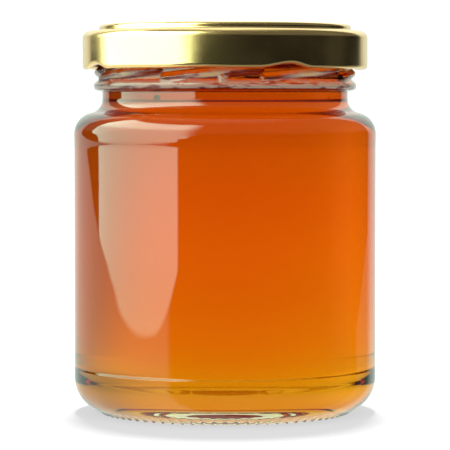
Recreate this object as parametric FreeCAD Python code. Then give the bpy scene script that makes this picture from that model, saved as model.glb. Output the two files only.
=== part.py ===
"""Honey jar: a round clear glass jar full of honey, shut with a gold twist-off lid.

Millimetres, +Z up, origin at the centre of the base, on the surface that the jar stands on.
The jar turns about Z and -Y is its front. It is three pieces, one solid and one STEP file each:
jar_glass, honey and lid.

A profile is drawn in the half-plane of radius r and height z, as V(r, 0, z), and turned about Z.
"""

import FreeCAD, Part
import os
from math import acos, asin, cos, degrees, pi, radians, sin, tan

V = FreeCAD.Vector
ORIGIN = V(0, 0, 0)
X_AXIS = V(1, 0, 0)
Y_AXIS = V(0, 1, 0)
Z_AXIS = V(0, 0, 1)
FRONT_DEG = -90.0  # -Y, as an angle about Z

# Glass, outside, from the foot up
body_radius = 35.0
heel_radius = 8.4
chamfer_height = 1.5  # where the heel's curve gives way to the foot's chamfer
foot_inset = 6.1  # from the body's side in to the foot's outer edge
foot_width = 2.3
foot_round = 0.9
push_up = 2.4  # how far the middle of the underside stands off the surface
panel_recess = 0.25  # the label panel lies this far inside the body
panel_bottom = 11.0
heel_ease = 1.2  # height over which the side eases in to the panel's bottom
shoulder_ease = 2.4  # and to its top
panel_margin = 3.2  # from the panel's top up to where the shoulder's curve starts
shoulder_radius = 5.0
shoulder_drop = 11.1  # from the bead down to where the shoulder's curve starts
shoulder_steepest_deg = 80.0  # a wider shoulder gets a straight run at this slope
neck_radius = 28.45
neck_fillet = 3.2
finish_step = 0.9  # the wall that carries the threads stands this far outside the neck
bead_drop = 2.65  # from the threads down to the bead
bead_round = 1.1
bead_undercut = 0.3  # rise of the bead's lower flank
bead_top_deg = 55.0  # where the bead's round ends and its upper flank starts
bead_flank = 0.55
rim_height = 89.6
rim_round = 1.6
rim_taper = 1.4
rim_inset = 0.15  # the rim's round stands this far outside the neck's inner wall

# Glass, inside
wall = 2.5
shoulder_inner_radius = 4.0
shoulder_inner_drop = 1.2  # the inner curve starts this far under the outer one
neck_wall = 2.75
neck_inner_fillet = 4.0
corner_radius = 6.5
floor_height = 4.7  # thickness of the glass under the corner's lowest point
floor_slope_deg = 4.0

# Knurls round the foot
knurl_count = 75
knurl_round = 1.1
knurl_inset = 0.7  # from the foot's inner edge out to where a groove touches the foot
knurl_slope_deg = 20.0
knurl_reach = 6.0
knurl_lead = 0.93  # a groove's cutter starts this far inside

# Threads: short ridges that rise to the right, seen from outside, and cams that hold the lugs down
ridge_count = 8
ridge_round = 0.85
ridge_sink = 0.1  # the middle of a ridge's round stands this far outside the finish wall
ridge_half_deg = 21.0
ridge_rise = 1.9
ridge_drop = 1.9  # from the middle of the lid's hem down to the middle of a ridge
ridge_phase_deg = -6.5  # the front ridge's middle, to the right of the front
cam_half_deg = 22.0
cam_rise = 0.8
cam_clearance = 0.15
seam_round = 1.15  # the bumps where the two halves of the neck's mould meet
seam_phase_deg = -1.0
seam_count = 2

# Honey
headspace = 4.4  # from the rim down to the honey

# Lid, a stamped sheet with a rolled hem
sheet = 0.2
lid_seat_gap = 0.0  # the lid's channel rests on the rim
hem_gap = 1.15  # between the hem and the ridges
channel_outer_room = 0.09  # from the rim's outer side out to the channel's
channel_inner_room = 1.65
channel_height = 1.5  # from the lid's ledge up to the top of the channel
channel_corner = 0.7
ledge_corner = 0.45
panel_drop = 0.6  # how far the lid's middle lies under the top of the channel
panel_ramp = 1.2
panel_corner = 0.8
lid_corner = 1.6
lid_depth = 10.35
hem_round = 0.8
hem_proud = 0.05
lug_count = 4
lug_phase_deg = 26.8
lug_half_deg = 7.5
lug_reach = 0.45  # how far a lug reaches under its cam
lug_thickness = 0.8
arch_height = 1.0  # the hem rises over each lug
arch_left_deg = 14.0
arch_right_deg = 10.0
ripple_height = 0.2  # a slight lift of the hem between two lugs
ripple_half_deg = 15.0
ripple_offset_deg = 52.0
hem_step_deg = 3.0

finish_pitch_deg = 360.0 / ridge_count
lid_top = rim_height + lid_seat_gap + sheet
hem_centre_height = lid_top - lid_depth + hem_round
ridge_height = hem_centre_height - ridge_drop
bead_height = ridge_height - bead_drop
shoulder_height = bead_height - shoulder_drop
shoulder_inner_height = shoulder_height - shoulder_inner_drop
panel_top = shoulder_height - panel_margin
honey_level = rim_height - headspace

foot_outer_radius = body_radius - foot_inset
foot_inner_radius = foot_outer_radius - foot_width
knurl_start_radius = foot_inner_radius + knurl_inset
inner_radius = body_radius - panel_recess - wall
neck_inner_radius = neck_radius - neck_wall
rim_centre_radius = neck_inner_radius + rim_inset + rim_round
finish_radius = neck_radius + finish_step
ridge_centre_radius = finish_radius + ridge_sink
hem_centre_radius = ridge_centre_radius + ridge_round + hem_gap + hem_round
lid_radius = hem_centre_radius + hem_round - hem_proud
channel_outer_radius = rim_centre_radius + rim_round + channel_outer_room
channel_inner_radius = rim_centre_radius - rim_round - channel_inner_room


def point(r, z):
    return V(r, 0, z)


def segment(start, end):
    return Part.LineSegment(point(*start), point(*end)).toShape()


def arc(centre, radius, start_deg, end_deg):
    """A circular edge in the profile's plane, and its two ends."""

    def on(angle_deg):
        angle = radians(angle_deg)
        return centre[0] + radius * cos(angle), centre[1] + radius * sin(angle)

    start, middle, end = on(start_deg), on((start_deg + end_deg) / 2), on(end_deg)
    return Part.Arc(point(*start), point(*middle), point(*end)).toShape(), start, end


def chain(*steps):
    """Joins arcs and points into one run of edges, with a straight edge wherever two steps don't meet."""
    edges, last = [], None
    for step in steps:
        edge, start, end = step if len(step) == 3 else (None, step, step)
        if last and point(*last).distanceToPoint(point(*start)) > 1e-6:
            edges.append(segment(last, start))
        if edge:
            edges.append(edge)
        last = end
    return edges


def turned(edges):
    face = Part.Face(Part.Wire(Part.__sortEdges__(edges)))
    return face.revolve(ORIGIN, Z_AXIS, 360)


def about_z(shape, angle_deg):
    placed = shape.copy()
    placed.rotate(ORIGIN, Z_AXIS, angle_deg)
    return placed


def ease(height, reach):
    """The two tangent arcs from the full radius at a height in to the panel, which is reach higher."""
    radius = (reach**2 + panel_recess**2) / (4 * panel_recess)
    lean = degrees(asin(reach / (2 * radius)))
    convex = arc((body_radius - radius, height), radius, 0, lean)
    panel_radius = body_radius - panel_recess
    concave = arc((panel_radius + radius, height + reach), radius, 180 + lean, 180)
    return convex, concave


def shoulder(wide, convex, height, narrow, concave):
    """The two arcs from a wide wall in to a narrow one above it, and a straight run if they do not meet."""
    both = convex + concave
    across = wide - narrow
    lean = radians(shoulder_steepest_deg)
    if across < both * (1 - cos(lean)):
        lean = acos(1 - across / both)
    run = (across - both * (1 - cos(lean))) / sin(lean)
    convex_centre = (wide - convex, height)
    concave_centre = (narrow + concave, height + both * sin(lean) + run * cos(lean))
    lean_deg = degrees(lean)
    return arc(convex_centre, convex, 0, lean_deg), arc(concave_centre, concave, lean_deg + 180, 180)


def outside():
    """The jar's outer profile, from the middle of its underside up to the rim's outer edge."""
    inner_foot = foot_inner_radius - foot_round
    dome_radius = (inner_foot**2 + (push_up - foot_round) ** 2) / (2 * (push_up - foot_round))
    dome_deg = degrees(asin(inner_foot / dome_radius))
    heel_start_deg = degrees(asin((chamfer_height - heel_radius) / heel_radius))
    downward = ease(panel_top + shoulder_ease, -shoulder_ease)
    above_panel = [(edge, end, start) for edge, start, end in reversed(downward)]
    bead_angle = radians(bead_top_deg)
    bead_end = bead_height + bead_round * sin(bead_angle)
    return chain(
        arc((0, push_up - dome_radius), dome_radius, 90, 90 - dome_deg),
        arc((foot_inner_radius, foot_round), foot_round, 180, 270),
        (foot_outer_radius, 0),
        arc((body_radius - heel_radius, heel_radius), heel_radius, heel_start_deg, 0),
        *ease(panel_bottom - heel_ease, heel_ease),
        *above_panel,
        *shoulder(body_radius, shoulder_radius, shoulder_height, neck_radius, neck_fillet),
        (neck_radius, bead_height - bead_round - bead_undercut),
        arc((finish_radius, bead_height), bead_round, -90, bead_top_deg),
        (finish_radius, bead_end + bead_flank),
        (finish_radius, rim_height - rim_round - rim_taper),
        (rim_centre_radius + rim_round, rim_height - rim_round),
    )


def inside(top):
    """The jar's inner profile, from the middle of its floor up to a height in the neck."""
    corner = (inner_radius - corner_radius, floor_height + corner_radius)
    slope = radians(floor_slope_deg)
    dome_radius = (corner[0] + corner_radius * sin(slope)) / sin(slope)
    dome_centre = corner[1] - corner_radius * cos(slope) - dome_radius * cos(slope)
    return chain(
        arc((0, dome_centre), dome_radius, 90, 90 - floor_slope_deg),
        arc(corner, corner_radius, floor_slope_deg - 90, 0),
        *shoulder(
            inner_radius, shoulder_inner_radius, shoulder_inner_height, neck_inner_radius, neck_inner_fillet
        ),
        (neck_inner_radius, top),
    )


def ends(edges):
    """The first and last points of a run of edges, as (r, z)."""
    run = Part.Wire(Part.__sortEdges__(edges)).OrderedVertexes
    return (run[0].Point.x, run[0].Point.z), (run[-1].Point.x, run[-1].Point.z)


def ridge(half_deg, rise, height, middle_deg):
    """A round-ended ridge on the finish that rises evenly to the right, seen from outside."""
    reach = ridge_centre_radius * sin(radians(half_deg))
    ring = Part.Wire(Part.Circle(V(ridge_centre_radius, 0, 0), Y_AXIS, ridge_round).toShape())
    run = about_z(Part.Face(ring).revolve(ORIGIN, Z_AXIS, 2 * half_deg), -half_deg)
    end = Part.makeSphere(ridge_round, V(ridge_centre_radius, 0, 0))
    run = run.fuse([about_z(end, -half_deg), about_z(end, half_deg)])
    run.rotate(ORIGIN, X_AXIS, degrees(asin(rise / (2 * reach))))
    run.translate(V(0, 0, height))
    return about_z(run, middle_deg)


def threads():
    """The eight ridges under the lid's hem, the four cams over its lugs and the mould's two seams."""
    found = []
    for turn in range(ridge_count):
        middle = FRONT_DEG + ridge_phase_deg + turn * finish_pitch_deg
        found.append(ridge(ridge_half_deg, ridge_rise, ridge_height, middle))
    cam_height = hem_centre_height + arch_height + lug_thickness / 2 + cam_clearance + ridge_round
    cam_height += cam_rise * lug_half_deg / (2 * cam_half_deg)
    for turn in range(lug_count):
        middle = FRONT_DEG + lug_phase_deg + turn * 360.0 / lug_count
        found.append(ridge(cam_half_deg, cam_rise, cam_height, middle))
    for turn in range(seam_count):
        bump = Part.makeSphere(seam_round, V(finish_radius, 0, ridge_height - ridge_round))
        found.append(about_z(bump, FRONT_DEG + seam_phase_deg + turn * 360.0 / seam_count))
    return found


def knurls():
    """Round cutters that lean outward and up, so that each groove fades out on the heel."""
    slope = radians(knurl_slope_deg)
    along = V(cos(slope), 0, sin(slope))
    start = V(knurl_start_radius, 0, -knurl_round / cos(slope)) - along * knurl_lead
    cutter = Part.makeCylinder(knurl_round, knurl_reach, start, along)
    return [about_z(cutter, FRONT_DEG + turn * 360.0 / knurl_count) for turn in range(knurl_count)]


def jar_glass():
    outer = outside()
    inner = inside(rim_height - rim_round - rim_taper)
    (_, floor_z), neck_end = ends(inner)
    rim, _, rim_inner = arc((rim_centre_radius, rim_height - rim_round), rim_round, 0, 180)
    edges = outer + [rim, segment(rim_inner, neck_end)] + inner + [segment((0, push_up), (0, floor_z))]
    return turned(edges).fuse(threads()).cut(knurls()).removeSplitter()


def honey():
    edges = inside(honey_level)
    (_, floor_z), brim = ends(edges)
    return turned(edges + [segment(brim, (0, honey_level)), segment((0, honey_level), (0, floor_z))])


def rounded(corners, radii):
    """A run of straight edges whose inner corners are rounded by the radii."""
    steps = [corners[0]]
    for before, corner, after, radius in zip(corners, corners[1:], corners[2:], radii):
        into = (point(*corner) - point(*before)).normalize()
        out = (point(*after) - point(*corner)).normalize()
        half_turn = into.getAngle(out) / 2
        start = point(*corner) - into * (radius * tan(half_turn))
        end = point(*corner) + out * (radius * tan(half_turn))
        to_centre = (out - into).normalize()
        middle = point(*corner) + to_centre * (radius / cos(half_turn) - radius)
        steps.append((Part.Arc(start, middle, end).toShape(), (start.x, start.z), (end.x, end.z)))
    return chain(*steps, corners[-1])


def sheet_inside(corners, radii):
    """The other face of the sheet: each straight run and each round moves in by its thickness."""
    moved, turns = [], []
    normals = []
    for start, end in zip(corners, corners[1:]):
        run = (point(*end) - point(*start)).normalize()
        normals.append(V(-run.z, 0, run.x) * -sheet)
    for corner, before, after in zip(corners[1:-1], normals, normals[1:]):
        together = before + after
        shift = together * (2 * sheet**2 / together.dot(together))
        moved.append((corner[0] + shift.x, corner[1] + shift.z))
        turns.append(before.cross(after).y)
    first = (corners[0][0] + normals[0].x, corners[0][1] + normals[0].z)
    last = (corners[-1][0] + normals[-1].x, corners[-1][1] + normals[-1].z)
    bent = [radius - sheet if turn > 0 else radius + sheet for radius, turn in zip(radii, turns)]
    return [first, *moved, last], bent


def stamped():
    """The lid's sheet: sunk middle, raised channel over the rim, ledge and skirt."""
    ledge = lid_top - channel_height
    corners = [
        (0, lid_top - panel_drop),
        (channel_inner_radius - panel_ramp, lid_top - panel_drop),
        (channel_inner_radius, lid_top),
        (channel_outer_radius, lid_top),
        (channel_outer_radius, ledge),
        (lid_radius, ledge),
        (lid_radius, hem_centre_height),
    ]
    radii = [panel_corner, panel_corner, channel_corner, ledge_corner, lid_corner]
    inner_corners, inner_radii = sheet_inside(corners, radii)
    edges = rounded(corners, radii) + rounded(inner_corners, inner_radii)
    edges += [segment(corners[0], inner_corners[0]), segment(corners[-1], inner_corners[-1])]
    return turned(edges)


def bell(offset_deg, left_deg, right_deg):
    """1 in the middle, falling smoothly to 0 at left_deg before it and right_deg after it."""
    share = offset_deg / (right_deg if offset_deg > 0 else left_deg)
    return (1 + cos(pi * share)) / 2 if abs(share) < 1 else 0.0


def hem_height(offset_deg):
    """The height of the hem's middle, offset_deg past a lug and before the next one."""
    arch = bell(offset_deg, arch_left_deg, arch_right_deg)
    arch += bell(offset_deg - 360.0 / lug_count, arch_left_deg, arch_right_deg)
    ripple = bell(offset_deg - ripple_offset_deg, ripple_half_deg, ripple_half_deg)
    return hem_centre_height + arch_height * arch + ripple_height * ripple


def hem():
    """The rolled hem from one lug, at +X, to the next."""
    span = 360.0 / lug_count
    count = round(span / hem_step_deg)
    rings = []
    for step in range(count + 1):
        offset = span * step / count
        angle = radians(offset)
        centre = V(hem_centre_radius * cos(angle), hem_centre_radius * sin(angle), hem_height(offset))
        rings.append(Part.Wire(Part.Circle(centre, V(-sin(angle), cos(angle), 0), hem_round).toShape()))
    return Part.makeLoft(rings, True)


def lug():
    """The inward tab of one lug, about +X."""
    middle = hem_centre_height + arch_height
    reach = ridge_centre_radius + ridge_round - lug_reach
    half = lug_thickness / 2
    edges = chain(
        arc((reach + half, middle), half, 90, 270),
        (hem_centre_radius, middle - half),
        (hem_centre_radius, middle + half),
    )
    edges.append(segment((hem_centre_radius, middle + half), (reach + half, middle + half)))
    face = Part.Face(Part.Wire(Part.__sortEdges__(edges)))
    return about_z(face.revolve(ORIGIN, Z_AXIS, 2 * lug_half_deg), -lug_half_deg)


def arch_cutter():
    """Clears the skirt under one arch, about +X, up to the middle of its hem."""
    half_width = lid_radius * sin(radians((arch_left_deg + arch_right_deg) / 2))
    radius = (half_width**2 + arch_height**2) / (2 * arch_height)
    start = V(channel_outer_radius, 0, hem_centre_height + arch_height - radius)
    cutter = Part.makeCylinder(radius, lid_radius, start, X_AXIS)
    return about_z(cutter, (arch_right_deg - arch_left_deg) / 2)


def lid():
    lugs = [FRONT_DEG + lug_phase_deg + turn * 360.0 / lug_count for turn in range(lug_count)]
    shell = stamped().cut([about_z(arch_cutter(), middle) for middle in lugs])
    rolled = [about_z(piece, middle) for middle in lugs for piece in (hem(), lug())]
    return shell.fuse(rolled).removeSplitter()


def main():
    os.makedirs("parts", exist_ok=True)
    for name, build in {"jar_glass": jar_glass, "honey": honey, "lid": lid}.items():
        shape = build()
        solids = shape.Solids
        print(name, "solids", len(solids), "valid", shape.isValid(), "cm3", round(shape.Volume / 1000, 3))
        solids[0].exportStep(f"parts/{name}.step")


main()
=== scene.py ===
"""Honey jar: the looks of the clear glass, the honey and the gold lid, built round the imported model.

Blender's unit is the metre. Profiles are worked out in millimetres and scaled by MM.
The jar turns about Z, -Y is its front, and an azimuth is measured from -Y towards +X.
"""

from math import asin, atan2, cos, degrees, pi, radians, sin, sqrt

import bpy
import numpy as np
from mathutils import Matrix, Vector


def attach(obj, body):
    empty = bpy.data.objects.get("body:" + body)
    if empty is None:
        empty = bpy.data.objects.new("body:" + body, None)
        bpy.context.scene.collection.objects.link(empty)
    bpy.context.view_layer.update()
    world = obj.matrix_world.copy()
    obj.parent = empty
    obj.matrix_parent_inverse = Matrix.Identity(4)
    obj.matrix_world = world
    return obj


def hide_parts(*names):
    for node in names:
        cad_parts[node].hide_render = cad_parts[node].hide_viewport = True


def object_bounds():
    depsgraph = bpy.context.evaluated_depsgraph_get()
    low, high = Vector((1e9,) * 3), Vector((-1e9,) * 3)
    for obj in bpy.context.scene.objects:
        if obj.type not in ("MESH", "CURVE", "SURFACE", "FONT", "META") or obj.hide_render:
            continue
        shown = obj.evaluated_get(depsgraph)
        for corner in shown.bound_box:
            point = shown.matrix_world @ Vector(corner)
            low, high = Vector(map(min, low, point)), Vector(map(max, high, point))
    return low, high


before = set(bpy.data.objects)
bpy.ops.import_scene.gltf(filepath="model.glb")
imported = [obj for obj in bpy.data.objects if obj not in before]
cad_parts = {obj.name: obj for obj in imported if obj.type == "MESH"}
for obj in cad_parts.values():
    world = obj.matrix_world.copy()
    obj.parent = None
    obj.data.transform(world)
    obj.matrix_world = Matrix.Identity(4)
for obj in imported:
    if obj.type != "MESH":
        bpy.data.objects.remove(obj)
cad_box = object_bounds()
scene = bpy.context.scene

MM = 0.001
support_gap = 0.12  # from the end of a straight run to its support row

# Glass, outside
body_radius = 35.0
heel_radius = 8.4
chamfer_height = 1.5
foot_outer_radius = 28.9
foot_inner_radius = 26.6
foot_round = 0.9
push_up = 2.4
panel_recess = 0.06  # shallower than the part's own, whose step would read too dark
panel_bottom = 11.0
panel_top = 61.4
heel_ease = 0.7
shoulder_ease = 2.4
shoulder_radius = 5.0
shoulder_height = 64.6
neck_radius = 28.45
neck_fillet = 3.2
neck_foot = 72.8  # where the neck's straight part starts
finish_radius = 29.35
bead_height = 75.7
bead_round = 1.1
bead_undercut = 0.3
bead_top_deg = 55.0
bead_flank = 0.55
rim_height = 89.6
rim_round = 1.6
rim_inset = 0.15
rim_taper = 1.4
lip_height = rim_height - rim_round - rim_taper  # where the finish starts to narrow to the rim

# Glass, inside
inner_radius = 32.25
shoulder_inner_radius = 4.0
shoulder_inner_height = 63.4
neck_inner_radius = neck_radius - 2.75
neck_inner_fillet = 4.0
corner_radius = 6.5
floor_height = 4.7
corner_height = floor_height + corner_radius
floor_slope_deg = 4.0
honey_level = rim_height - 4.4
honey_bite = 0.15  # the honey reaches this far into the glass

# Knurls and threads
knurl_count = 75
knurl_depth = 0.34
knurl_inner_radius = 27.2
knurl_top = 1.6
knurl_fade_in = 1.0
knurl_fade_up = 1.3
ridge_count = 8
ridge_tall = 0.95
ridge_wide = 1.25
ridge_half_deg = 21.0
ridge_rise = 1.9
ridge_height = 78.35
ridge_phase_deg = -6.5
cam_count = 4
cam_half_deg = 22.0
cam_rise = 0.8
cam_height = 82.75
cam_phase_deg = 26.8
seam_phase_deg = -1.0
seam_height = 77.5
seam_wide = 1.5
seam_tall = 1.1
thread_foot = bead_height + 0.6  # the ridges stand out between these two heights
thread_top = rim_height - 2.6
dense_rows_top = 80.2  # up to here the finish has closer rows, for the slanted ridges
# The ridges and the bead get a painted highlight: a cream diffuse share in streaks, in place of the light
# that the glass bends along them.
ridge_highlight_half_deg = 17.0
ridge_highlight_strength = 0.62

honey_index = 1.49
# Air bubbles in the honey: azimuth in degrees, height, depth under the glass, radius
bubbles = [
    (-35.8, 72.9, 1.0, 0.75),
    (62.0, 72.9, 1.2, 0.2),
    (128.0, 71.0, 1.6, 0.45),
    (-142.0, 73.6, 1.4, 0.3),
]

# The faces between glass and honey: a small step at the side, and a larger one than real under
# the honey, so that the pale base shows
side_index = 1.02
floor_index = 1.1

# The honey's tint at heights from its floor up, on top of what its volume takes out. It paints light and
# shade: paler and yellower near the floor, where light from below glows through, and darker and redder
# towards the top, shaded by the lid
honey_painted_light_tints = [
    (4.0, (0.95, 1.0, 0.90)),
    (9.0, (0.97, 0.86, 0.65)),
    (14.5, (1.0, 0.65, 0.42)),
    (26.0, (0.97, 0.50, 0.25)),
    (37.5, (0.97, 0.437, 0.18)),
    (49.0, (0.91, 0.36, 0.12)),
    (60.0, (0.816, 0.333, 0.10)),
    (66.0, (0.67, 0.25, 0.08)),
    (73.0, (0.60, 0.165, 0.05)),
    (78.0, (0.58, 0.26, 0.10)),
]

# Studio: turn is in degrees from the front, and rise in degrees above the level
studio_tint = (0.80, 1.10, 0.86)  # of the softbox, and of half of the room's light
box_middle = -58.0
box_foot = -5.08  # the lowest rise that the softbox reaches
box_left = -111.0
box_left_high = -121.0
box_right_low = -35.7
box_right = -28.0
box_top = 50.0
strip_foot_rise = -3.2
room_back = 138.0
room_right = 118.0
sky_strength = 0.5
white_strength = 1.1
sun_strength = 4.0
sun_size_deg = 8.0
sun_lean_deg = 15.0
floor_fill = 0.63

# Lid
sheet = 0.2
lid_top = rim_height + sheet
lid_radius = 33.0
lid_depth = 10.35
lid_corner = 1.6
channel_outer_radius = 29.14
channel_inner_radius = 24.2
channel_height = 1.5
channel_corner = 0.7
ledge_corner = 0.45
lid_sunk = 0.6
lid_ramp = 1.2
skirt_bend = 1.2  # the skirt's lowest corner is this far above the hem's middle
seal_gap = 0.1
ramp_corner = 0.8
hem_round = 0.8
lug_count = 4
lug_phase_deg = 26.8
lug_half_deg = 9.0
lug_inward = 1.5
arch_height = 1.0
arch_left_deg = 14.0
arch_right_deg = 10.0
ripple_height = 0.2
ripple_half_deg = 15.0
ripple_offset_deg = 52.0


# ---------------------------------------------------------------- profiles

def arc(centre, radius, start_deg, end_deg, count):
    angles = np.radians(np.linspace(start_deg, end_deg, count + 1))
    return [(centre[0] + radius * cos(a), centre[1] + radius * sin(a)) for a in angles]


def line(start, end, count=1):
    return [(start[0] + (end[0] - start[0]) * t, start[1] + (end[1] - start[1]) * t)
            for t in np.linspace(0, 1, count + 1)]


def straight(start, end, count=1):
    """A straight run with a row close to each end, so that the rounds beside it don't bend its shading."""
    run = Vector(end) - Vector(start)
    margin = min(support_gap, run.length / 3) / run.length
    inner = [tuple(Vector(start) + run * share) for share in (margin, 1 - margin)]
    return [start] + line(*inner, count) + [end]


def joined(*runs):
    """One list of points from several runs, without the points that two runs share."""
    points = []
    for run in runs:
        for point in run:
            if not points or abs(point[0] - points[-1][0]) + abs(point[1] - points[-1][1]) > 1e-6:
                points.append(point)
    return points


def ease(height, reach):
    """The two tangent arcs from the full radius at a height in to the panel, which is reach higher."""
    radius = (reach**2 + panel_recess**2) / (4 * panel_recess)
    lean = degrees(asin(reach / (2 * radius)))
    panel_radius = body_radius - panel_recess
    return joined(
        arc((body_radius - radius, height), radius, 0, lean, 4),
        arc((panel_radius + radius, height + reach), radius, 180 + lean, 180, 4),
    )


def shoulder(wide, convex, height, narrow, concave, counts):
    """A convex arc from the wide radius at a height, and a concave one that ends at the narrow radius."""
    convex_centre = (wide - convex, height)
    across = narrow + concave - convex_centre[0]
    up = sqrt((convex + concave) ** 2 - across**2)
    lean = degrees(atan2(up, across))
    concave_centre = (narrow + concave, height + up)
    return joined(
        arc(convex_centre, convex, 0, lean, counts[0]),
        arc(concave_centre, concave, lean + 180, 180, counts[1]),
    )


def outer_profile():
    """The outside of the glass, from the middle of its base up and over the rim."""
    inner_foot = foot_inner_radius - foot_round
    dome_radius = (inner_foot**2 + (push_up - foot_round) ** 2) / (2 * (push_up - foot_round))
    dome_deg = degrees(asin(inner_foot / dome_radius))
    heel_start_deg = degrees(asin((chamfer_height - heel_radius) / heel_radius))
    heel_centre = (body_radius - heel_radius, heel_radius)
    heel = arc(heel_centre, heel_radius, heel_start_deg, 0, 12)
    low = ease(panel_bottom - heel_ease, heel_ease)
    high = ease(panel_top + shoulder_ease, -shoulder_ease)[::-1]
    bead_end = bead_height + bead_round * sin(radians(bead_top_deg))
    rim_middle = neck_inner_radius + rim_round + rim_inset
    return joined(
        arc((0, push_up - dome_radius), dome_radius, 90, 90 - dome_deg, 5),
        arc((foot_inner_radius, foot_round), foot_round, 180, 270, 3),
        straight((foot_inner_radius, 0), (foot_outer_radius, 0), 2),
        straight((foot_outer_radius, 0), heel[0], 3),
        heel,
        low,
        straight(low[-1], high[0], 2),
        high,
        shoulder(body_radius, shoulder_radius, shoulder_height, neck_radius, neck_fillet, (14, 8)),
        straight((neck_radius, neck_foot), (neck_radius, bead_height - bead_round - bead_undercut)),
        arc((finish_radius, bead_height), bead_round, -90, bead_top_deg, 10),
        line((finish_radius, bead_end + bead_flank), (finish_radius, dense_rows_top), 18),
        line((finish_radius, dense_rows_top), (finish_radius, lip_height), 10),
        arc((rim_middle, rim_height - rim_round), rim_round, 0, 180, 8),
    )


def inner_profile(top, bite=0.0):
    """The inside of the glass, from the middle of its floor up to a height in the neck."""
    side = inner_radius + bite
    corner = (inner_radius - corner_radius, corner_height)
    reach = corner_radius + bite
    slope = radians(floor_slope_deg)
    dome_radius = (corner[0] + reach * sin(slope)) / sin(slope)
    dome_centre = corner[1] - reach * cos(slope) - dome_radius * cos(slope)
    neck = neck_inner_radius + bite
    inner_shoulder = shoulder(side, shoulder_inner_radius + bite, shoulder_inner_height,
                              neck, neck_inner_fillet - bite, (7, 5))
    return joined(
        arc((0, dome_centre), dome_radius, 90, 90 - floor_slope_deg, 6),
        arc(corner, reach, floor_slope_deg - 90, 0, 8),
        straight((side, corner[1]), inner_shoulder[0], 2),
        inner_shoulder,
        straight(inner_shoulder[-1], (neck, top), 2),
    )


# ---------------------------------------------------------------- meshes

def lathe(name, profile, segments, move=None):
    """A mesh turned about Z from a profile that starts on the axis and ends on it. move bends it."""
    points = np.array(profile)
    angles = 2 * pi * np.arange(segments) / segments
    radius = np.repeat(points[:, :1], segments, axis=1)
    height = np.repeat(points[:, 1:], segments, axis=1)
    azimuth = np.broadcast_to(np.degrees(angles), radius.shape)
    if move:
        radius, height = move(radius, height, azimuth)
    turn = np.radians(azimuth - 90)
    rings = np.stack([radius * np.cos(turn), radius * np.sin(turn), height], axis=2)[1:-1]
    first = [0, 0, profile[0][1]]
    last = [0, 0, profile[-1][1]]
    vertices = np.concatenate([rings.reshape(-1, 3), [first, last]]) * MM
    rows = len(rings)
    bottom, top = rows * segments, rows * segments + 1
    faces = []
    for k in range(segments):
        n = (k + 1) % segments
        faces.append((bottom, n, k))
        for row in range(rows - 1):
            a = row * segments
            b = a + segments
            faces.append((a + k, a + n, b + n, b + k))
        a = (rows - 1) * segments
        faces.append((a + k, a + n, top))
    mesh = bpy.data.meshes.new(name)
    mesh.from_pydata(vertices.tolist(), [], faces)
    mesh.polygons.foreach_set("use_smooth", [True] * len(faces))
    mesh.update()
    piece = bpy.data.objects.new(name, mesh)
    scene.collection.objects.link(piece)
    return piece


def wrapped(azimuth, middle):
    """Degrees from middle to azimuth, from -180 to 180."""
    return (azimuth - middle + 180) % 360 - 180


def bell(offset, left, right):
    """1 in the middle, falling smoothly to 0 at left below it and at right above it."""
    share = np.where(offset > 0, offset / right, offset / left)
    return np.where(np.abs(share) < 1, (1 + np.cos(pi * share)) / 2, 0)


def ridge(azimuth, height, middle_deg, middle_height, half_deg, rise, tall, wide):
    """How far one round-ended ridge stands out of the finish at each point."""
    along = wrapped(azimuth, middle_deg)
    on = np.clip(along, -half_deg, half_deg)
    across = height - middle_height - rise * on / (2 * half_deg)
    beyond = radians(1) * (along - on) * finish_radius
    far = np.sqrt(across**2 + beyond**2) / wide
    return tall * np.where(far < 1, (1 - far**2) ** 2, 0)


def finish_relief(azimuth, height):
    """The thread ridges, the short ridges above them and a bump on each mould seam."""
    relief = np.zeros_like(height)
    for count, phase_deg, *shape in (
        (ridge_count, ridge_phase_deg, ridge_height, ridge_half_deg, ridge_rise, ridge_tall, ridge_wide),
        (cam_count, cam_phase_deg, cam_height, cam_half_deg, cam_rise, ridge_tall, ridge_wide),
        (2, seam_phase_deg, seam_height, 0.1, 0, seam_tall, seam_wide),
    ):
        for turn in range(count):
            one = ridge(azimuth, height, phase_deg + turn * 360 / count, *shape)
            relief = np.maximum(relief, one)
    return relief


def mould_glass(radius, height, azimuth):
    """Adds the thread ridges and the knurls to the turned glass."""
    threaded = (height > thread_foot) & (height < thread_top) & (radius > neck_radius)
    radius = radius + np.where(threaded, finish_relief(azimuth, height), 0)
    groove = np.abs((azimuth * knurl_count / 360) % 1 - 0.5) * 2
    notch = 1 - groove**2
    inward = np.clip((radius - knurl_inner_radius) / knurl_fade_in, 0, 1)
    upward = np.clip((knurl_top - height) / knurl_fade_up, 0, 1)
    return radius, height + knurl_depth * notch * inward * upward


def middles_of(piece):
    """The radius and height of the middle of each face, in millimetres."""
    middles = np.array([face.center for face in piece.data.polygons], dtype=float) / MM
    return np.hypot(middles[:, 0], middles[:, 1]), middles[:, 2]


def glass_piece():
    """The moulded glass, with a material of its own at the side of the honey and one under it."""
    inside = inner_profile(honey_level) + [(neck_inner_radius, lip_height)]
    piece = lathe("jar_glass_moulded", outer_profile() + inside[::-1], 600, mould_glass)
    add_painted_highlight(piece)
    piece.data.materials.append(outer_glass_material())
    piece.data.materials.append(glass_material("clear_glass_in_honey", side_index))
    piece.data.materials.append(glass_material("clear_glass_under_honey", floor_index))
    radius, height = middles_of(piece)
    lowest = int(np.argmin([point[1] for point in inside]))
    wall_radius = np.interp(height, *np.array(inside[lowest:])[:, ::-1].T)
    beside = (radius < wall_radius + 0.3) & (height > floor_height + 0.05) & (height < honey_level)
    under = (radius < 27) & (height > 3.6) & (height < 8)
    slots = np.where(under, 2, np.where(beside, 1, 0))
    piece.data.polygons.foreach_set("material_index", slots.tolist())
    return piece


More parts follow.
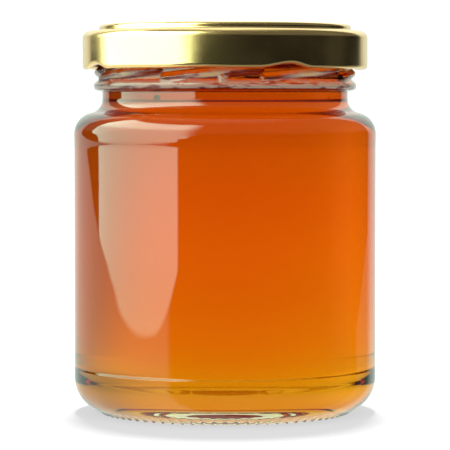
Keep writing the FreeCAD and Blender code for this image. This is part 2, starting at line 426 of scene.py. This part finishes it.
def rounded(corners, radii, counts):
    """A run of straight edges whose inner corners are rounded."""
    runs = [[corners[0]]]
    for before, corner, after, radius, count in zip(corners, corners[1:], corners[2:], radii, counts):
        into = (Vector(corner) - Vector(before)).normalized()
        out = (Vector(after) - Vector(corner)).normalized()
        turn = into.angle_signed(out)
        reach = radius * abs(np.tan(turn / 2))
        start = Vector(corner) - into * reach
        side = -1 if turn > 0 else 1
        centre = start + Vector((-into.y, into.x)) * radius * side
        spoke = start - centre
        sweep = np.linspace(0, -turn, count + 1)
        runs.append([(centre.x + spoke.x * cos(a) - spoke.y * sin(a),
                      centre.y + spoke.x * sin(a) + spoke.y * cos(a)) for a in sweep])
    runs.append([corners[-1]])
    between = [straight(before[-1], after[0]) for before, after in zip(runs, runs[1:])]
    return joined(*[run for pair in zip(runs, between) for run in pair])


def lid_profile():
    """The stamped lid, from the middle of its top out, down round the hem and back under the top."""
    ledge = lid_top - channel_height
    hem_middle = lid_top - lid_depth + hem_round
    hem_centre = (lid_radius - hem_round, hem_middle)
    outside = rounded(
        [
            (0, lid_top - lid_sunk),
            (channel_inner_radius - lid_ramp, lid_top - lid_sunk),
            (channel_inner_radius, lid_top),
            (channel_outer_radius, lid_top),
            (channel_outer_radius, ledge),
            (lid_radius, ledge),
            (lid_radius, hem_middle + skirt_bend),
        ],
        [ramp_corner, ramp_corner, channel_corner, ledge_corner, lid_corner],
        [6, 6, 8, 6, 10],
    )
    skirt = straight(outside[-1], (lid_radius, hem_middle), 4)
    roll = arc(hem_centre, hem_round, 0, -300, 26)
    inner = rounded(
        [
            (lid_radius - sheet, hem_middle + hem_round + 0.3),
            (lid_radius - sheet, ledge - sheet),
            (channel_outer_radius - sheet, ledge - sheet),
            (channel_outer_radius - sheet, lid_top - sheet),
            (channel_inner_radius + seal_gap, lid_top - sheet),
            (channel_inner_radius - lid_ramp + seal_gap, lid_top - lid_sunk - sheet),
            (0, lid_top - lid_sunk - sheet),
        ],
        [lid_corner - sheet, ledge_corner + sheet, channel_corner - sheet, ramp_corner, ramp_corner],
        [6, 4, 5, 4, 4],
    )
    return joined(outside, skirt, roll, inner)


def bend_lid(radius, height, azimuth):
    """Lifts the hem over each lug, gives it its ripples and presses the lugs inward."""
    offset = (azimuth - lug_phase_deg + 180) % (360 / lug_count)
    offset = np.where(offset > 360 / lug_count - arch_left_deg, offset - 360 / lug_count, offset)
    lift = arch_height * bell(offset, arch_left_deg, arch_right_deg)
    lift = lift + ripple_height * bell(offset - ripple_offset_deg, ripple_half_deg, ripple_half_deg)
    hem_middle = lid_top - lid_depth + hem_round
    share = np.clip((hem_middle + 3.0 - height) / 2.2, 0, 1)
    share = share * share * (3 - 2 * share)
    inward = np.clip((lid_radius - hem_round - radius) / hem_round, 0, 1)
    low = np.clip((hem_middle + 1.0 - height) / 1.0, 0, 1)
    near = np.where((height < hem_middle + 1.2) & (radius > 30), 1, 0)
    radius = radius - lug_inward * inward * low * near * bell(offset, lug_half_deg, lug_half_deg)
    return radius, height + lift * share


# ---------------------------------------------------------------- materials

def new_tree(name):
    material = bpy.data.materials.new(name)
    material.use_nodes = True
    return material, material.node_tree, material.node_tree.nodes["Principled BSDF"]


def number(tree, operation, *inputs):
    node = tree.nodes.new("ShaderNodeMath")
    node.operation = operation
    for socket, value in zip(node.inputs, inputs):
        if isinstance(value, (int, float)):
            socket.default_value = value
        else:
            tree.links.new(value, socket)
    return node.outputs[0]


def step(tree, value, low, high, to_low=0.0, to_high=1.0):
    """A smooth change from to_low to to_high as value goes from low to high."""
    node = tree.nodes.new("ShaderNodeMapRange")
    node.interpolation_type = "SMOOTHSTEP"
    tree.links.new(value, node.inputs["Value"])
    node.inputs["From Min"].default_value = low
    node.inputs["From Max"].default_value = high
    node.inputs["To Min"].default_value = to_low
    node.inputs["To Max"].default_value = to_high
    return node.outputs["Result"]


def noise(tree, scale, detail, stretch=(1, 1, 1)):
    """Noise of so many features to the metre, fixed to the piece."""
    coordinate = tree.nodes.new("ShaderNodeTexCoord")
    mapping = tree.nodes.new("ShaderNodeMapping")
    mapping.inputs["Scale"].default_value = stretch
    tree.links.new(coordinate.outputs["Object"], mapping.inputs[0])
    node = tree.nodes.new("ShaderNodeTexNoise")
    node.inputs["Scale"].default_value = scale
    node.inputs["Detail"].default_value = detail
    tree.links.new(mapping.outputs[0], node.inputs["Vector"])
    return node.outputs[0]


def bump(tree, shader, height, distance, strength):
    node = tree.nodes.new("ShaderNodeBump")
    node.inputs["Distance"].default_value = distance
    node.inputs["Strength"].default_value = strength
    tree.links.new(height, node.inputs["Height"])
    tree.links.new(node.outputs[0], shader.inputs["Normal"])


def glass_material(name, index):
    """Smooth clear glass whose surface bends light by this index."""
    material, _, shader = new_tree(name)
    shader.inputs["Base Color"].default_value = (0.99, 1.0, 0.995, 1)
    shader.inputs["Roughness"].default_value = 0.0
    shader.inputs["IOR"].default_value = index
    shader.inputs["Transmission Weight"].default_value = 1.0
    return material


def outer_glass_material():
    """Clear glass with the faint waves of its mould, and a painted cream highlight in streaks along the
    thread ridges and the bead, where part of the glass turns diffuse.
    """
    material = glass_material("clear_glass", 1.52)
    tree = material.node_tree
    shader = tree.nodes["Principled BSDF"]
    bump(tree, shader, noise(tree, 45, 1), 0.0003, 0.2)
    painted_highlight = tree.nodes.new("ShaderNodeAttribute")
    painted_highlight.attribute_name = "painted_highlight"
    # Painted highlight: cream diffuse streaks take the place of some of the transmission along the ridges
    # and the bead.
    streaks = step(tree, noise(tree, 250, 3, (1, 1, 5)), 0.34, 0.52)
    share = product(tree, painted_highlight.outputs["Fac"], streaks)
    highlight_weight = product(tree, share, ridge_highlight_strength)
    tree.links.new(number(tree, "SUBTRACT", 1.0, highlight_weight), shader.inputs["Transmission Weight"])
    highlight_colour = tree.nodes.new("ShaderNodeMix")
    highlight_colour.data_type = "RGBA"
    highlight_colour.inputs["A"].default_value = shader.inputs["Base Color"].default_value
    highlight_colour.inputs["B"].default_value = (1.0, 0.75, 0.36, 1)
    tree.links.new(share, highlight_colour.inputs[0])
    tree.links.new(highlight_colour.outputs[2], shader.inputs["Base Color"])
    return material


def add_painted_highlight(piece):
    """Stores how much painted highlight each point has: along the middle of each ridge, and along the
    bead.
    """
    points = np.array([vertex.co for vertex in piece.data.vertices]) / MM
    radius = np.hypot(points[:, 0], points[:, 1])
    height = points[:, 2]
    azimuth = np.degrees(np.arctan2(points[:, 0], -points[:, 1]))
    between = 360 / ridge_count
    along = (azimuth - ridge_phase_deg + between / 2) % between - between / 2
    proud = np.clip((radius - finish_radius - 0.1) / (0.5 * ridge_tall), 0, 1)
    ridges = proud * bell(along, ridge_highlight_half_deg, ridge_highlight_half_deg)
    ridges = ridges * (height > bead_height + 1.0) * (height < rim_height)
    bead = 0.6 * np.clip((radius - finish_radius - 0.3) / 0.4, 0, 1)
    bead = bead * (height > bead_height - 0.7) * (height < bead_height + 1.3)
    share = np.where(radius < finish_radius + 2, np.maximum(ridges, bead), 0)
    attribute = piece.data.attributes.new("painted_highlight", "FLOAT", "POINT")
    attribute.data.foreach_set("value", share.astype(np.float32))


def honey_material():
    """Clear amber: the volume takes out green and blue, and a tint by height paints light and shade, the
    top darker and redder as if shaded by the lid and the bottom paler as if lit from below.
    """
    material, tree, shader = new_tree("amber_honey")
    shader.inputs["Roughness"].default_value = 0.0
    shader.inputs["IOR"].default_value = 1.0
    shader.inputs["Transmission Weight"].default_value = 1.0
    coordinate = tree.nodes.new("ShaderNodeTexCoord")
    split = tree.nodes.new("ShaderNodeSeparateXYZ")
    tree.links.new(coordinate.outputs["Object"], split.inputs[0])
    height = step_linear(tree, split.outputs["Z"], 0, honey_level * MM)
    ramp = tree.nodes.new("ShaderNodeValToRGB")
    tree.links.new(height, ramp.inputs[0])
    # The tint is painted shade towards the top and painted light towards the bottom.
    tint_ramp(ramp.color_ramp, honey_painted_light_tints)
    tree.links.new(ramp.outputs["Color"], shader.inputs["Base Color"])
    absorb = tree.nodes.new("ShaderNodeVolumeAbsorption")
    absorb.inputs["Color"].default_value = (0.963, 0.80, 0.08, 1)
    absorb.inputs["Density"].default_value = 110
    tree.links.new(absorb.outputs[0], tree.nodes["Material Output"].inputs["Volume"])
    return material


def step_linear(tree, value, low, high):
    node = tree.nodes.new("ShaderNodeMapRange")
    tree.links.new(value, node.inputs["Value"])
    node.inputs["From Min"].default_value = low
    node.inputs["From Max"].default_value = high
    return node.outputs["Result"]


def tint_ramp(ramp, stops):
    """Sets a ramp over the honey's height to the colours at these heights."""
    while len(ramp.elements) < len(stops):
        ramp.elements.new(0.5)
    for element, (height, colour) in zip(ramp.elements, stops):
        element.position = height / honey_level
        element.color = (*colour, 1)


def lid_material():
    """Gold lacquer over tin, with a little unevenness in its shine."""
    material, tree, shader = new_tree("gold_lacquered_tin")
    shader.inputs["Metallic"].default_value = 1.0
    shader.inputs["Base Color"].default_value = (0.90, 0.57, 0.25, 1)
    lacquer = noise(tree, 900, 3)
    tree.links.new(step(tree, noise(tree, 130, 4), 0.3, 0.7, 0.17, 0.23), shader.inputs["Roughness"])
    bump(tree, shader, lacquer, 0.00002, 0.25)
    return material


# ---------------------------------------------------------------- stage

def azimuth_of(tree, x, y):
    """Degrees from the front towards the right."""
    return number(tree, "DEGREES", number(tree, "ARCTAN2", x, number(tree, "MULTIPLY", y, -1.0)))


def choose(tree, pick, no, yes):
    """no where pick is 0, and yes where it is 1."""
    node = tree.nodes.new("ShaderNodeMix")
    node.data_type = "FLOAT"
    tree.links.new(pick, node.inputs[0])
    for socket, value in ((node.inputs[2], no), (node.inputs[3], yes)):
        if isinstance(value, (int, float)):
            socket.default_value = value
        else:
            tree.links.new(value, socket)
    return node.outputs[0]


def product(tree, *values):
    result = values[0]
    for value in values[1:]:
        result = number(tree, "MULTIPLY", result, value)
    return result


def total(tree, *values):
    result = values[0]
    for value in values[1:]:
        result = number(tree, "ADD", result, value)
    return result


def mirrored_studio(tree, turn, rise):
    """What the glass and the lid reflect: the rest of the studio, and a tall softbox on the left."""
    around = number(tree, "ABSOLUTE", turn)
    off_left = number(tree, "MAXIMUM", number(tree, "SUBTRACT", box_middle, turn), 0.0)
    off_right = number(tree, "MAXIMUM", number(tree, "ADD", turn, -box_middle), 0.0)
    foot = total(
        tree,
        product(tree, off_left, off_left, 0.0008),
        product(tree, off_right, off_right, 0.0028),
        box_foot,
    )
    above_foot = number(tree, "SUBTRACT", rise, foot)
    left_edge = step(tree, rise, -2, 6, box_left, box_left_high)
    right_edge = total(
        tree,
        step(tree, rise, -1.0, -0.4, box_right_low, box_right),
        step(tree, rise, 10, 46, 0, 2.0),
    )
    softness = step(tree, rise, 0.5, 2.0, 1.0, 9.0)
    past_left = number(tree, "SUBTRACT", turn, left_edge)
    past_right = number(tree, "DIVIDE", number(tree, "SUBTRACT", turn, right_edge), softness)
    box = product(
        tree,
        step(tree, past_left, -1.0, 1.0),
        step(tree, past_right, -1.0, 1.0, 1, 0),
        step(tree, above_foot, -0.15, 0.15),
        step(tree, rise, box_top, box_top + 4, 1, 0),
        total(tree, step(tree, rise, -6, -1, 3.4, 4.6), step(tree, rise, 20, 32, 0, 3.6)),
    )
    strip = number(tree, "MAXIMUM", number(tree, "SUBTRACT", box_left, turn), 0.0)
    strip = number(tree, "DIVIDE", strip, 30.0)
    strip_foot = number(tree, "ADD", product(tree, strip, strip, strip, 2.2), strip_foot_rise)
    low = product(tree, step(tree, above_foot, -0.2, 0.1, 1, 0), step(tree, turn, -46, -40, 1, 0))
    low_left = product(
        tree,
        step(tree, number(tree, "SUBTRACT", rise, strip_foot), -0.2, 0.1, 1, 0),
        step(tree, turn, box_left - 2, box_left, 1, 0),
    )
    low = number(tree, "MAXIMUM", low, low_left)
    right_foot = number(tree, "MULTIPLY", number(tree, "ADD", rise, 4.9), 9.7)
    right_foot = number(tree, "MINIMUM", number(tree, "MAXIMUM", right_foot, 0.0), 20.5)
    low_right = step(tree, number(tree, "SUBTRACT", turn, right_foot), room_right, room_right + 2)
    back = step(tree, around, room_back, room_back + 4)
    pale = number(tree, "MAXIMUM", number(tree, "MAXIMUM", low, low_right), back)
    dusk = total(
        tree,
        step(tree, rise, 4, 12, 0.015, 0.16),
        step(tree, rise, 56, 76, 0, 0.35),
        step(tree, rise, -30, -12, 0.3, 0),
    )
    warm = product(tree, step(tree, turn, 84, 92), step(tree, turn, 108, 114, 1, 0), 0.03)
    dusk = number(tree, "ADD", dusk, warm)
    side = product(
        tree,
        step(tree, turn, 60, 90),
        step(tree, turn, 135, 150, 1, 0),
        step(tree, rise, 2, 8, 1, 0),
    )
    level = number(tree, "SUBTRACT", step(tree, rise, 8, 30, 0.9, 1.3), product(tree, side, 0.68))
    return total(tree, product(tree, pale, level), dusk), box


def backdrop(tree, turn):
    """What shines through the jar: white, dimmer at the right-hand back and brighter at the left-hand."""
    dim = product(tree, step(tree, turn, 104, 118), step(tree, turn, 138, 168, 1, 0), -0.46)
    lift = product(tree, step(tree, turn, -112, -124), step(tree, turn, -160, -136, 0, 1), 0.2)
    return total(tree, dim, lift, 1.0)


def studio_world():
    """White to the camera and through the jar, and the mirrored studio to what reflects."""
    world = bpy.data.worlds.new("studio")
    scene.world = world
    world.use_nodes = True
    tree = world.node_tree
    background = tree.nodes["Background"]
    coordinate = tree.nodes.new("ShaderNodeTexCoord")
    split = tree.nodes.new("ShaderNodeSeparateXYZ")
    tree.links.new(coordinate.outputs["Generated"], split.inputs[0])
    turn = azimuth_of(tree, split.outputs["X"], split.outputs["Y"])
    rise = number(tree, "DEGREES", number(tree, "ARCSINE", split.outputs["Z"]))
    through = product(tree, backdrop(tree, turn), step(tree, rise, 4, 25, 1.0, 0.82))
    path = tree.nodes.new("ShaderNodeLightPath")
    room, box = mirrored_studio(tree, turn, rise)
    half = product(tree, room, 0.5)  # half of the room's light is white, and half has the softbox's tint
    seen = choose(tree, path.outputs["Is Transmission Ray"], half, through)
    seen = choose(tree, path.outputs["Is Diffuse Ray"], seen, sky_strength)
    seen = choose(tree, path.outputs["Is Camera Ray"], seen, white_strength)
    tree.links.new(seen, background.inputs["Strength"])
    background.inputs["Color"].default_value = (1, 1, 1, 1)
    softbox = tree.nodes.new("ShaderNodeBackground")
    softbox.inputs["Color"].default_value = (*studio_tint, 1)
    lit = choose(tree, path.outputs["Is Transmission Ray"], total(tree, half, box), 0.0)
    lit = choose(tree, path.outputs["Is Diffuse Ray"], lit, 0.0)
    lit = choose(tree, path.outputs["Is Camera Ray"], lit, 0.0)
    tree.links.new(lit, softbox.inputs["Strength"])
    both = tree.nodes.new("ShaderNodeAddShader")
    tree.links.new(background.outputs[0], both.inputs[0])
    tree.links.new(softbox.outputs[0], both.inputs[1])
    tree.links.new(both.outputs[0], tree.nodes["World Output"].inputs["Surface"])
    # Each kind of ray has its own sky, so none is sampled as a light
    world.cycles.sampling_method = "NONE"


def floor_material():
    """A pale floor to the camera. What shines up through the jar follows the backdrop, with painted shade
    that darkens it near the jar.
    """
    material = bpy.data.materials.new("pale_floor")
    material.use_nodes = True
    tree = material.node_tree
    shader = tree.nodes["Principled BSDF"]
    shader.inputs["Base Color"].default_value = (0.3, 0.3, 0.3, 1)
    shader.inputs["Roughness"].default_value = 1.0
    shader.inputs["Specular IOR Level"].default_value = 0.0
    shader.inputs["Emission Color"].default_value = (1, 1, 1, 1)
    shader.inputs["Emission Strength"].default_value = floor_fill
    coordinate = tree.nodes.new("ShaderNodeTexCoord")
    split = tree.nodes.new("ShaderNodeSeparateXYZ")
    tree.links.new(coordinate.outputs["Object"], split.inputs[0])
    x, y = split.outputs["X"], split.outputs["Y"]
    far = number(tree, "SQRT", total(tree, product(tree, x, x), product(tree, y, y)))
    path = tree.nodes.new("ShaderNodeLightPath")
    glow = tree.nodes.new("ShaderNodeEmission")
    # Painted shade: what the floor shines into the jar is darker within a few centimetres of it.
    painted_shade_near_jar = step(tree, far, 0.028, 0.075, 0.8, 1.0)
    bright = product(tree, painted_shade_near_jar, backdrop(tree, azimuth_of(tree, x, y)))
    tree.links.new(bright, glow.inputs["Strength"])
    mix = tree.nodes.new("ShaderNodeMixShader")
    tree.links.new(path.outputs["Is Camera Ray"], mix.inputs[0])
    tree.links.new(glow.outputs[0], mix.inputs[1])
    tree.links.new(shader.outputs[0], mix.inputs[2])
    tree.links.new(mix.outputs[0], tree.nodes["Material Output"].inputs["Surface"])
    return material


def floor():
    mesh = bpy.data.meshes.new("floor")
    half = 40.0
    corners = [(-half, -half, 0), (half, -half, 0), (half, half, 0), (-half, half, 0)]
    mesh.from_pydata(corners, [], [(0, 1, 2, 3)])
    piece = bpy.data.objects.new("floor", mesh)
    scene.collection.objects.link(piece)
    piece.location.z = cad_box[0][2] - 0.00002
    mesh.materials.append(floor_material())
    piece.visible_glossy = False


def overhead_light():
    """A soft light high above and a little behind the jar, which throws its shadow forward."""
    data = bpy.data.lights.new("overhead", "SUN")
    data.energy = sun_strength
    data.angle = radians(sun_size_deg)
    piece = bpy.data.objects.new("overhead", data)
    scene.collection.objects.link(piece)
    piece.rotation_euler = (radians(-sun_lean_deg), 0, 0)
    piece.visible_glossy = False
    piece.visible_transmission = False


def camera():
    data = bpy.data.cameras.new("camera")
    data.lens = 210
    data.sensor_width = 36
    piece = bpy.data.objects.new("camera", data)
    scene.collection.objects.link(piece)
    piece.location = (0, -0.610, 0.07175)
    aim = Vector((0, 0, 0.0434))
    piece.rotation_euler = (aim - piece.location).to_track_quat("-Z", "Y").to_euler()
    scene.camera = piece


# ---------------------------------------------------------------- air bubbles

def bubble_material():
    """Air seen from inside the honey: a smooth surface with the honey's index turned over."""
    material = bpy.data.materials.new("air_in_honey")
    material.use_nodes = True
    tree = material.node_tree
    tree.nodes.remove(tree.nodes["Principled BSDF"])
    shader = tree.nodes.new("ShaderNodeBsdfGlass")
    shader.inputs["Roughness"].default_value = 0.0
    shader.inputs["IOR"].default_value = 1 / honey_index
    shader.inputs["Color"].default_value = (0.5, 0.38, 0.3, 1)
    tree.links.new(shader.outputs[0], tree.nodes["Material Output"].inputs["Surface"])
    return material


def air_bubbles():
    """Round bubbles just inside the honey, as one mesh."""
    vertices, faces = [], []
    rows, around = 12, 24
    for azimuth, height, depth, size in bubbles:
        reach = neck_inner_radius - depth
        middle = Vector((reach * sin(radians(azimuth)), -reach * cos(radians(azimuth)), height))
        first = len(vertices)
        vertices.append(middle - Vector((0, 0, size)))
        for row in range(1, rows):
            rise = pi * row / rows - pi / 2
            for k in range(around):
                turn = 2 * pi * k / around
                out = Vector((cos(turn) * cos(rise), sin(turn) * cos(rise), sin(rise)))
                vertices.append(middle + out * size)
        vertices.append(middle + Vector((0, 0, size)))
        last = len(vertices) - 1
        for k in range(around):
            n = (k + 1) % around
            faces.append((first, first + 1 + n, first + 1 + k))
            for row in range(rows - 2):
                a = first + 1 + row * around
                faces.append((a + k, a + n, a + around + n, a + around + k))
            a = last - around
            faces.append((a + k, a + n, last))
    mesh = bpy.data.meshes.new("air_bubbles")
    mesh.from_pydata([tuple(v * MM) for v in vertices], [], faces)
    mesh.polygons.foreach_set("use_smooth", [True] * len(faces))
    mesh.materials.append(bubble_material())
    piece = bpy.data.objects.new("air_bubbles", mesh)
    scene.collection.objects.link(piece)
    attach(piece, "root")


# ---------------------------------------------------------------- the jar

def main():
    camera()
    studio_world()
    floor()
    overhead_light()
    scene.view_settings.view_transform = "Standard"
    scene.cycles.use_denoising = True
    scene.cycles.max_bounces = 32
    scene.cycles.transmission_bounces = 32
    scene.cycles.glossy_bounces = 12
    scene.cycles.caustics_refractive = False
    scene.cycles.caustics_reflective = False

    glass = glass_piece()
    glass.data.set_sharp_from_angle(angle=radians(40))
    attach(glass, "root")
    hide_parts("jar_glass")

    honey = lathe("honey_filling", inner_profile(honey_level, honey_bite) + [(0, honey_level)], 256)
    honey.data.materials.append(honey_material())
    honey.data.set_sharp_from_angle(angle=radians(40))
    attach(honey, "root")
    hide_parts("honey")

    air_bubbles()

    lid = lathe("lid_stamped", lid_profile()[::-1], 360, bend_lid)
    lid.data.materials.append(lid_material())
    lid.data.set_sharp_from_angle(angle=radians(40))
    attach(lid, "root")
    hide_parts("lid")


main()
